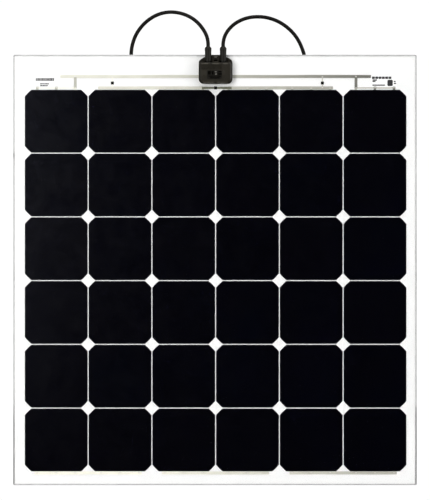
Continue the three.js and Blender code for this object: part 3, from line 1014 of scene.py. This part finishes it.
def as_bmesh(target):
    """Takes a shape's mesh back out as a bmesh, and removes the shape."""
    bm = bmesh.new()
    bm.from_mesh(target.data)
    bpy.data.objects.remove(target)
    return bm

def softened(bm, width):
    """The same bmesh with its edges rounded."""
    return as_bmesh(soften(shape_from(bm), width))


def bar(x0, x1, plane, start, end, top, bottom, radius=0.0, bm=None):
    """A block on the box, in millimetres: across, from start to end behind a Y plane, and down."""
    if radius:
        outline = box_outline(x0, x1, top, bottom, radius, radius, 4)
    else:
        corners = ((x0, bottom), (x1, bottom), (x1, top), (x0, top))
        outline = [(beside(x), down(depth)) for x, depth in corners]
    return slab(outline, plane + start * mm, plane + end * mm, bm)


def pair(side, near, far):
    """A left and a right offset, from two distances out to one side of the box's middle."""
    return sorted((side * near, side * far))


def box_piece(name, bm, material, body="top_strip", nodes=(), sharp_deg=40):
    """A piece of the junction box, riding on the top strip unless another body is named."""
    return add_piece(name, bm, material, body, None, nodes, sharp_deg)


base_back, tray_front = BASE_HIGH.y, BASE_LOW.y
shoulder_front = base_back - 6 * mm
lid_back, lid_front = tray_front - 0.3 * mm, LID_LOW.y
sleeve_y = base_back - 7 * mm
sleeve_offset = 15
screw_offset = 13.2
tongue_front = shoulder_front - 2.8 * mm


def circle(x, y, z, radius, count):
    """Points round a level circle."""
    angles = [math.tau * k / count for k in range(count)]
    return [(x + radius * math.cos(angle), y + radius * math.sin(angle), z) for angle in angles]


def upright(x, y, radius, top, bottom, count=40):
    """A round bar along Z, at an offset from the box's middle, between two depths."""
    return loft([circle(beside(x), y, down(depth), radius * mm, count) for depth in (bottom, top)])


def shoulder_outline():
    """The plate above the tray: sloped at its corners, with an arch over the latch."""
    right = [
        (33.7, 27), (33.7, 16.2), (33.3, 14.2), (32.4, 12.2), (30.7, 10.3), (28.2, 8.5), (24.8, 6.4),
        (21.9, 4.8), (20.7, 4.4),
    ]
    arch = [(9.0, 4.4), (9.0, 1.9), (8.6, 1.2), (6.6, 0.8), (3.4, 0.5), (0.0, 0.4)]
    points = right + arch
    mirrored = [(-x, depth) for x, depth in reversed(points[:-1])]
    return [(beside(x), down(depth)) for x, depth in points + mirrored]


def pry_lip():
    """A wedge above the latch, sloping up and forward, for a finger or a driver."""
    rings = []
    for lift, top in ((-0.6, 0.9), (0, 1.0), (1.25, 2.5)):
        corners = ((-3.3, 2.8), (3.3, 2.8), (3.3, top), (-3.3, top))
        rings.append([(beside(x), shoulder_front - lift * mm, down(depth)) for x, depth in corners])
    return loft(rings)


def add_box_base():
    """The tray and shoulder plate in one piece, with its channels, windows, catch and rims."""
    base = shape_from(slab(shoulder_outline(), base_back, shoulder_front))
    tray = slab(box_outline(-33.7, 33.7, 16, 58.7, 3, 10, 10), base_back, tray_front)
    combine(base, [tray], "UNION")
    hollow = box_outline(-31.2, 31.2, 18.5, 56.2, 1, 7.5)
    cuts = [slab(hollow, base_back - 2 * mm, tray_front - 2 * mm)]
    cuts.append(slab(slot_outline(), base_back + 2 * mm, base_back - 4 * mm))
    for side in SIDES.values():
        cuts.append(upright(side * sleeve_offset, sleeve_y, 6.8, -5, 15))
        cuts.append(upright(side * sleeve_offset, sleeve_y, 4.05, 10, 25))
        cuts.append(bar(*pair(side, 22.6, 29.6), shoulder_front, -1, 2.2, 11.6, 13.6, 0.8))
    cuts.append(bar(-4.6, 4.6, shoulder_front, -1, 3.6, 3.6, 9.4, 0.7))
    combine(base, cuts, "DIFFERENCE")
    joins = [bar(-3.0, 3.0, shoulder_front, 3.8, -2.2, 5.6, 7.0, 0.3), pry_lip()]
    for side in SIDES.values():
        joins.append(bar(*pair(side, 6.2, 7.9), shoulder_front, 1, -1.3, 2.2, 13.5, 0.6))
        joins.append(bar(*pair(side, 24.5, 29), shoulder_front, 5.5, 0.2, 9, 15, 0.8))
    combine(base, joins, "UNION")
    shell = as_bmesh(soften(base, 0.35 * mm))
    box_piece("junction_box_base_shell", shell, "box", nodes=["junction_box_base"], sharp_deg=30)
    # Black floors in the windows and channels: painted shade.
    floors = bmesh.new()
    for side in SIDES.values():
        bar(*pair(side, 22.8, 29.4), shoulder_front, 2.4, 1.6, 11.8, 13.4, 0.6, floors)
    bar(-4.4, 4.4, shoulder_front, 3.9, 3.2, 4.8, 9.2, 0.6, floors)
    box_piece("box_window_shade_floors", floors, "dark_gloss_and_shade")
    # The catch pad is painted lighter: a painted highlight.
    catch = bar(-2.6, 2.8, shoulder_front, -2, -2.4, 5.7, 6.9, 0.3)
    box_piece("latch_catch_pad", softened(catch, 0.1 * mm), "polished_with_highlight")
    # The rim is painted lighter: a painted highlight along the tray's lower edge.
    rim = bar(-25, 25, tray_front, 1, -0.25, 57.3, 58.4, 0.5)
    box_piece("box_lower_rim", softened(rim, 0.12 * mm), "painted_highlight")


def lid_dish():
    """The lid's plate, bevelled towards its face."""
    steps = (
        (lid_back, 0.5), (lid_back - 0.4 * mm, 0.1), (lid_front + 1.5 * mm, 0.0),
        (lid_front + 0.2 * mm, 1.7), (lid_front, 2.3),
    )
    rings = []
    for y, inset in steps:
        sides = -31.7 + inset, 31.7 - inset, 16.2 + inset * 0.7, 57 - inset
        rings.append(at(y, box_outline(*sides, 2.5, 9 - inset * 0.6, 10)))
    return loft(rings)


def lid_tongue():
    """The looped latch tongue, with its window and the pocket under it."""
    tongue = shape_from(bar(-6, 6, shoulder_front, -0.4, -2.8, 2.9, 15.6, 0.9))
    window = bar(-3.9, 3.9, shoulder_front, 1, -3.8, 4.5, 9.0, 0.6)
    pocket = bar(-3.9, 4.3, tongue_front, 0.9, -1, 9.9, 13.3, 0.5)
    return as_bmesh(combine(tongue, [window, pocket], "DIFFERENCE"))


def add_box_lid():
    """The snap-on lid with its skirt and tongue, and its sunk panels."""
    lid = shape_from(lid_dish())
    skirt_outline = box_outline(-30.7, 30.7, 19.0, 55.7, 1, 7.0)
    skirt = shape_from(slab(skirt_outline, lid_back - 0.6 * mm, lid_back + 3 * mm))
    hollow_outline = box_outline(-29.5, 29.5, 20.2, 54.5, 0.8, 5.8)
    combine(skirt, [slab(hollow_outline, lid_back - 0.55 * mm, lid_back + 4 * mm)], "DIFFERENCE")
    combine(lid, [as_bmesh(skirt)], "UNION")
    inside = lid_front + 0.8 * mm
    link = slab(box_outline(-6, 6, 13.6, 15.8, 0.4, 0.4, 4), shoulder_front - 0.4 * mm, inside)
    bridge = slab(box_outline(-6, 6, 14.2, 18.5, 0.4, 0.4, 4), lid_back, inside)
    combine(lid, [link, bridge, lid_tongue()], "UNION")
    # A black floor in the latch recess: painted shade.
    floor = bar(-3.7, 4.1, tongue_front, 1.3, 0.8, 10.1, 13.1, 0.4)
    box_piece("latch_recess_shade_floor", floor, "dark_gloss_and_shade", "lid")
    # The latch pad is painted lighter: a painted highlight.
    pad = bar(-2.4, 3.6, tongue_front, 0.4, -0.2, 3.1, 4.4, 0.4)
    box_piece("latch_pad", softened(pad, 0.1 * mm), "polished_with_highlight", "lid")
    combine(lid, [
        bar(-29.8, 29.8, lid_front, -1, 0.3, 19.75, 20.1),
        bar(-29.8, 12.8, lid_front, -1, 0.3, 20.4, 29.8, 0.8),
        bar(-17.4, 12.9, lid_front, -1, 0.35, 31.8, 49.4, 2.4),
        bar(-1.4, 1.4, lid_front, -1, 0.45, 54.2, 59, 0.6),
    ], "DIFFERENCE")
    shell = as_bmesh(soften(lid, 0.25 * mm, angle=50))
    box_piece("junction_box_lid_shell", shell, "lid", "lid", ["junction_box_lid"], 30)
    add_lid_details()


def lid_detail(name, shapes, material, front, back=0.2, radius=0.5):
    """Softened blocks on the lid, from front mm before its face to back mm behind it.

    Each shape is its left, right, top and bottom.
    """
    bm = bmesh.new()
    for shape in shapes:
        outline = box_outline(*shape, radius, radius, 4)
        relief = softened(slab(outline, lid_front + back * mm, lid_front - front * mm), 0.12 * mm)
        mesh = mesh_from("relief", relief)
        bm.from_mesh(mesh)
        bpy.data.meshes.remove(mesh)
    box_piece(name, bm, material, "lid")


def add_lid_details():
    """Two plain raised bars in a sunk panel, plain blocks in a second one, and lighter pads round them; both
    panels are painted darker as painted shade, and the beads and dots lighter as painted highlights.
    """
    # The sunk panel's floor and bars take the darker base plastic: painted shade in the panel.
    lid_detail("lid_panel_floor", [(-29.6, 12.6, 20.6, 29.6)], "box", -0.2, 0.9, 0.6)
    lid_detail("lid_panel_bars", [(-28.6, 11.4, 21.4, 24.3), (-28.6, 8.2, 25.9, 28.8)], "box", 0.05, 0.3)
    # The emblem panel's floor is painted darker: painted shade in the recess.
    lid_detail("lid_emblem_floor", [(-17.2, 12.7, 32.0, 49.2)], "recess_shade", -0.2, 0.9, 2.2)
    lid_detail("lid_relief_marks", [
        (-15.5, -9.8, 33.6, 40.2), (-8.2, -4.2, 33.6, 40.2), (4.4, 11.4, 33.4, 35.6),
        (5.0, 11.6, 37.4, 40.6), (-14.5, 10.5, 42.6, 44.2), (-11, 8.0, 46, 47.6),
    ], "dark_gloss_and_shade", 0.28)
    # Two plain pads in a lighter plastic.
    pads = [(-30.0, -18.2, 30.8, 42.6), (13.9, 18.6, 31.6, 40.6)]
    lid_detail("lid_side_pads", pads, "lighter_pad", 0.12, 0.2, 1.0)
    # The top and bottom beads are painted lighter: painted highlights along the lid's edges.
    beads = [(-28.2, -14.6, 17.0, 19.5), (-6.4, 7.2, 17.0, 19.5), (15.2, 24.2, 17.0, 19.5)]
    lid_detail("lid_top_bead", beads, "painted_highlight", 0.15, 0.6)
    beads = [(-25.5, -2.2, 53.9, 56.3), (2.2, 24.5, 53.9, 56.3)]
    lid_detail("lid_bottom_bead", beads, "painted_highlight", -0.1, 2.0, 0.9)
    # The two dots are painted lighter: painted highlights.
    dots = bmesh.new()
    foot = lid_front + 0.05 * mm
    dome(dots, beside(0.9), foot, down(39.4), 1.5, 1.9, 0.4, 3)
    dome(dots, beside(0.2), foot, down(34.8), 1.9, 1.1, 0.35, 4)
    box_piece("lid_painted_highlight_dots", dots, "polished_with_highlight", "lid", sharp_deg=32)


def add_lid_seal():
    """A soft ring in the tray's rim, under the lid."""
    outer = box_outline(-30.85, 30.85, 18.85, 55.85, 1.2, 7.2)
    inner = box_outline(-29.45, 29.45, 20.25, 54.45, 0.8, 5.8)
    back, front = base_back - 8.4 * mm, base_back - 10.5 * mm
    bm = bmesh.new()
    made = []
    for ring, y in ((outer, back), (outer, front), (inner, front), (inner, back)):
        made.append([bm.verts.new(place) for place in at(y, ring)])
    for a, b in zip(made, made[1:] + made[:1]):
        for i in range(len(a)):
            j = (i + 1) % len(a)
            bm.faces.new((a[i], a[j], b[j], b[i]))
    top_piece("lid_seal_ring", bm, "seal")


def add_terminal(name, side):
    """A clamp with its screw, and the cable's bared end that goes to it."""
    jaw = bar(*pair(side, 8.25, 9.35), base_back, -3, -7.4, 39.5, 46.5, 0.3)
    clamp = shape_from(jaw)
    foot = bar(*pair(side, 8.25, 16.6), base_back, -3.2, -4.2, 33, 41.5, 0.6)
    combine(clamp, [foot], "UNION")
    clamp = as_bmesh(soften(clamp, 0.12 * mm))
    top_piece(f"terminal_clamp_{name}", clamp, "brass", sharp_deg=30)
    screw_x = side * screw_offset
    rings = []
    for lift, radius in ((4.2, 2.5), (5.2, 2.5), (5.6, 2.1)):
        level = circle(beside(screw_x), down(37), base_back - lift * mm, radius * mm, 28)
        rings.append([(x, y, z) for x, z, y in level])
    screw = shape_from(loft(rings))
    notch = base_back, -5.1, -6.5
    combine(screw, [
        bar(screw_x - 2.8, screw_x + 2.8, *notch, 36.7, 37.3),
        bar(screw_x - 0.3, screw_x + 0.3, *notch, 34.2, 39.8),
    ], "DIFFERENCE")
    screw = as_bmesh(screw)
    top_piece(f"terminal_screw_{name}", screw, "solder", sharp_deg=30)
    lead = upright(side * sleeve_offset, sleeve_y, 3.7, 14.9, 22.5, 32)
    top_piece(f"cable_end_{name}", lead, "jacket")
    inner = upright(side * sleeve_offset, sleeve_y, 2.35, 22.3, 26.5, 24)
    top_piece(f"cable_inner_{name}", inner, "seal")
    add_strands(name, side)


def add_terminals():
    """Two clamps on a rail, which join the ribbon tabs to the cables' bared ends."""
    rail = shape_from(bar(-20, 20, base_back, -2, -3.4, 31.5, 35.5, 0.5))
    rib = bar(-1.2, 1.2, base_back, -1.5, -6.4, 29, 50, 0.4)
    combine(rail, [rib], "UNION")
    box_piece("terminal_rail", as_bmesh(soften(rail, 0.15 * mm)), "box", sharp_deg=30)
    for name, side in SIDES.items():
        add_terminal(name, side)


def add_strands(name, side):
    """Twisted copper strands from the cable's bared end to its clamp."""
    start = Vector((beside(side * sleeve_offset), sleeve_y, down(26.3)))
    end = Vector((beside(side * screw_offset), base_back - 5.4 * mm, down(36.5)))
    bm = bmesh.new()
    steps = 14
    for strand in range(9):
        ring_radius = 0.0 if strand == 0 else 1.15 * mm
        rings = []
        for i in range(steps + 1):
            t = i / steps
            squeeze = 1 - 0.35 * t
            angle = math.tau * strand / 8 + 2.4 * t
            outward = Vector((math.cos(angle), math.sin(angle), 0))
            centre = start.lerp(end, t) + outward * ring_radius * squeeze
            rings.append(circle(*centre, 0.48 * mm * squeeze, 8))
        loft(rings, bm)
    top_piece(f"cable_strands_{name}", bm, "copper")


def turned(x, y, top_z, profile, count=64, section=None):
    """A shape turned about Z: (radius, depth) pairs in millimetres, with an optional uneven section."""
    rings = []
    for radius, depth in profile:
        ring = []
        for k in range(count):
            angle = math.tau * k / count
            r = radius * mm * (section(angle, depth) if section else 1)
            ring.append((x + r * math.cos(angle), y + r * math.sin(angle), top_z - depth * mm))
        rings.append(ring)
    return loft(rings)


def add_sleeve(name):
    """The moulded strain relief that the cable leaves through, with its ribs and collar."""
    x = beside(SIDES[name] * sleeve_offset)
    profile = [
        (4.4, 14.7), (4.4, 13.3), (6.3, 13.1), (6.5, 12.8), (6.5, 9.4), (6.25, 9.1), (6.25, 8.5), (6.5, 8.2),
        (6.5, 0.5), (6.35, 0.0), (6.5, -0.5), (6.5, -4.0), (6.35, -4.5), (6.5, -5.0),
        (6.5, -7.4), (6.7, -7.9), (6.75, -8.5), (6.75, -12.4), (6.6, -13.1),
        (5.6, -14.3), (4.8, -15.1), (4.3, -15.7), (3.85, -16.0),
    ]
    bm = turned(x, sleeve_y, sheet_top, profile)
    nodes = [f"cable_sleeve_{name}"]
    top_piece(f"cable_sleeve_{name}_boot", bm, "sleeve", nodes, 35)


# ---------------------------------------------------------------- connectors

def ribbed(count, depth_of_rib, top, bottom):
    """A section whose radius dips between ribs, between two depths."""
    def section(angle, depth):
        if not top < depth < bottom:
            return 1.0
        return 1 - depth_of_rib * (0.5 - 0.5 * math.cos(count * angle)) ** 2
    return section


def gripped(flat, top, bottom):
    """A round section with two flats, front and back, between two depths."""
    def section(angle, depth):
        if not top < depth < bottom:
            return 1.0
        reach = abs(math.sin(angle))
        return min(1.0, flat / reach) if reach > 1e-6 else 1.0
    return section


CONNECTORS = {
    "left": {
        "grip": [(8.0, 30.0), (8.8, 30.8), (9.0, 31.6), (9.0, 50.8), (8.7, 51.6), (7.4, 52.4), (6.2, 53.4)],
        "grip_end": 50.5,
        "nose": [(6.2, 53.2), (6.2, 61.2), (5.8, 62.0), (4.4, 62.0), (4.3, 61.6), (4.3, 56.0), (2.9, 55.6)],
        "tip": [(2.5, 55.4), (2.5, 58.4), (2.3, 58.8), (1.6, 58.9)],
        "seal": (6.3, 53.6),
        "latch_end": 52.6,
    },
    "right": {
        "grip": [(8.0, 30.0), (8.8, 30.8), (9.0, 31.6), (9.0, 43.0), (8.7, 43.8), (7.4, 44.6), (6.2, 45.4)],
        "grip_end": 42.8,
        "nose": [(6.0, 45.2), (5.9, 47.6), (4.9, 48.4), (4.7, 57.6), (4.3, 59.2), (3.6, 59.9), (2.9, 60.0)],
        "tip": [(1.5, 59.5), (1.5, 59.9), (1.2, 60.0), (0.6, 60.0)],
        "seal": (6.25, 47.0),
        "latch_end": 56.0,
    },
}
CAP_NUT = [
    (3.3, -0.2), (5.2, 0.2), (5.9, 0.9), (7.4, 2.9), (7.6, 3.6), (7.6, 4.4), (7.6, 15.8), (7.6, 16.6),
    (7.2, 17.0),
]
GLAND_BODY = [
    (7.2, 17.0), (7.9, 17.4), (8.3, 18.2), (8.3, 20.4), (7.9, 20.9), (7.9, 21.9), (8.3, 22.4), (8.3, 29.4),
    (8.0, 30.0),
]
LATCH_START = 42.0


def latch_arm(bm, x, y, top_z, side, stop):
    """A springy arm beside the grip: each section is its depth, outer reach, thickness and width."""
    sections = (
        (LATCH_START, 7.6, 1.2, 4.4), (LATCH_START + 1, 8.3, 1.3, 4.4), (stop - 5, 7.5, 1.2, 3.8),
        (stop - 2.5, 8.2, 1.6, 3.8), (stop - 1.6, 8.6, 1.8, 3.6), (stop, 6.9, 0.8, 3.2),
    )
    edge = 0.3 * mm
    rings = []
    for depth, out, thick, width in sections:
        inner, outer = x + side * (out - thick) * mm, x + side * out * mm
        half = width * mm / 2
        z = top_z - depth * mm
        rings.append([
            (inner, y - half, z), (outer, y - half + edge, z),
            (outer, y + half - edge, z), (inner, y + half, z),
        ])
    loft(rings, bm)


def add_connector(name):
    """A round snap-in solar connector: a socket on the left cable, a plug on the right one."""
    own = CONNECTORS[name]
    end = cables[name][1][-1]
    x, y, top_z = end.x, end.y, end.z - 0.3 * mm
    made = []

    def turn(piece, profile, material="connector", section=None, count=64):
        bm = turned(x, y, top_z, profile, count, section)
        full_name = f"connector_{name}_{piece}"
        made.append(top_piece(full_name, bm, material, sharp_deg=35))

    turn("cap_nut", CAP_NUT, section=ribbed(18, 0.09, 4.0, 16.2), count=144)
    turn("gland_body", GLAND_BODY, section=gripped(0.93, 22.2, 29.6), count=72)
    turn("grip", own["grip"], section=gripped(0.86, 32.0, own["grip_end"]), count=96)
    turn("nose", own["nose"])
    turn("contact", own["tip"], "brass", count=32)
    radius, depth = own["seal"]
    bulge = ((-0.9, 0), (0.1, 0.1), (0.45, 0.7), (0.1, 1.3), (-0.9, 1.4))
    turn("seal_ring", [(radius + out, depth + along) for out, along in bulge], "seal", count=48)
    arms = bmesh.new()
    for side in (-1, 1):
        latch_arm(arms, x, y, top_z, side, own["latch_end"])
    arms_name = f"connector_{name}_latch_arms"
    made.append(top_piece(arms_name, arms, "connector", sharp_deg=30))
    for piece in made:
        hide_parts(f"connector_{name}")
    return made


# ---------------------------------------------------------------- marks on the margin

def add_marks():
    """Plain bars and blocks where the real sheet has its printed labels."""
    paper, ink = CELL_HIGH.y - 0.06 * mm, CELL_HIGH.y - 0.09 * mm

    def patch(name, x0, x1, z0, z1):
        outline = rounded_outline(x0 * mm, x1 * mm, z0 * mm, z1 * mm, 0.6 * mm, 0.6 * mm, 3)
        top_piece(name, slab(outline, CELL_HIGH.y, paper), "label")

    def mark(bm, x0, x1, z0, z1, radius=0.1):
        corner = radius * mm
        outline = rounded_outline(x0 * mm, x1 * mm, z0 * mm, z1 * mm, corner, corner, 3)
        slab(outline, paper, ink, bm)

    chance = random.Random(5)
    patch("serial_label_paper", -361, -318, -29, -9)
    bars = bmesh.new()
    x = -358.4
    while x < -322:
        width = chance.choice((0.8, 1.2, 1.6, 2.2))
        mark(bars, x, x + width, -17.2, -11.4)
        x += width + chance.choice((0.3, 0.45))
    for z in (-23.9, -27.5):
        x = -350
        while x < -335:
            width = chance.choice((1.5, 2.1, 2.8))
            mark(bars, x, x + width, z - 0.3, z + 2.3, 0.4)
            x += width + 0.45
    top_piece("serial_label_marks", bars, "print")
    patch("badge_paper", 312, 364, -31, -7)
    marks = bmesh.new()
    for x in (314, 320.6, 327.2, 333.8, 340.4, 347):
        mark(marks, x, x + 5.8, -13.2, -8.4, 0.8)
    short_lines = (
        (315, 324, -16.2), (315, 321, -19), (315, 340, -26.4), (357.6, 361.4, -19), (357.6, 362.4, -23),
    )
    for x0, x1, z in short_lines:
        mark(marks, x0, x1, z - 0.4, z + 2.0, 0.4)
    mark(marks, 344.8, 355.6, -27.5, -14.8, 2.4)
    top_piece("badge_marks", marks, "print")


# ---------------------------------------------------------------- stage

def add_stage():
    """A pale floor far below the sheet, a little lit of its own."""
    floor_z = sheet_bottom - 480 * mm
    x, y_near, y_far = 6.4, -1.6, 6.4
    bm = bmesh.new()
    places = ((-x, y_near), (x, y_near), (x, y_far), (-x, y_far))
    bm.faces.new([bm.verts.new((*place, floor_z)) for place in places])
    mesh = mesh_from("floor", bm)
    material, _, shader = new_material("floor_pale", (0.86, 0.86, 0.86), 0.8, specular=0.1)
    shader.inputs["Emission Color"].default_value = (1, 1, 1, 1)
    shader.inputs["Emission Strength"].default_value = 0.42
    mesh.materials.append(material)
    floor = linked("floor", mesh)
    floor.visible_glossy = False


def add_area_light(name, place, aim, size, power):
    """A rectangle of light that the camera doesn't see, turned towards a point."""
    data = bpy.data.lights.new(name, "AREA")
    data.shape = "RECTANGLE"
    data.size, data.size_y = size
    data.energy = power
    light = linked(name, data)
    light.location = place
    light.visible_camera = False
    direction = Vector(aim) - Vector(place)
    light.rotation_euler = direction.to_track_quat("-Z", "Y").to_euler()


def add_world():
    """Pale where the camera sees it; for light and reflections, dim in front and brighter behind."""
    world = bpy.data.worlds.new("studio")
    bpy.context.scene.world = world
    world.use_nodes = True
    tree = world.node_tree
    tree.nodes.clear()
    output = node(tree, "ShaderNodeOutputWorld")
    seen = node(tree, "ShaderNodeBackground", Color=(1, 1, 1, 1), Strength=1.05)
    lit = node(tree, "ShaderNodeBackground")
    path = node(tree, "ShaderNodeLightPath")
    mix = node(tree, "ShaderNodeMixShader")
    facing = axes(tree, "Generated")["Y"]
    tree.links.new(spread(tree, facing, 0.0, 0.4, -0.5, 0.4), lit.inputs["Strength"])
    tree.links.new(path.outputs["Is Camera Ray"], mix.inputs[0])
    tree.links.new(lit.outputs["Background"], mix.inputs[1])
    tree.links.new(seen.outputs["Background"], mix.inputs[2])
    tree.links.new(mix.outputs["Shader"], output.inputs["Surface"])


def add_lights():
    add_area_light("key", (-1.25, -1.9, 0.1), (0, 0, -0.35), (1.3, 1.5), 37)
    add_area_light("fill", (2.7, -1.3, 0.4), (0, 0, -0.4), (2, 2), 66)
    add_area_light("top", (0, -1.0, 2.4), (0, 0, 0), (2.4, 0.9), 74)
    add_area_light("back", (0.6, 3.6, 2.2), (0, 0, -0.4), (3, 2), 45)


bpy.context.scene.view_settings.view_transform = "Standard"
add_world()
add_lights()
add_stage()
add_laminate()
for row in range(1, rows + 1):
    for column in range(1, columns + 1):
        add_cell(row, column)
        if row < rows:
            add_interconnect(row, column)
for name, side in SIDES.items():
    add_upper_bus(name, side)
    add_lower_bus(name, side)
for link in (1, 2, 3):
    add_bottom_link(link)
for name in ("left", "middle", "right"):
    add_diode(name)
add_marks()
add_box_base()
add_box_lid()
add_lid_seal()
add_terminals()
for name in SIDES:
    add_sleeve(name)
    add_connector(name)
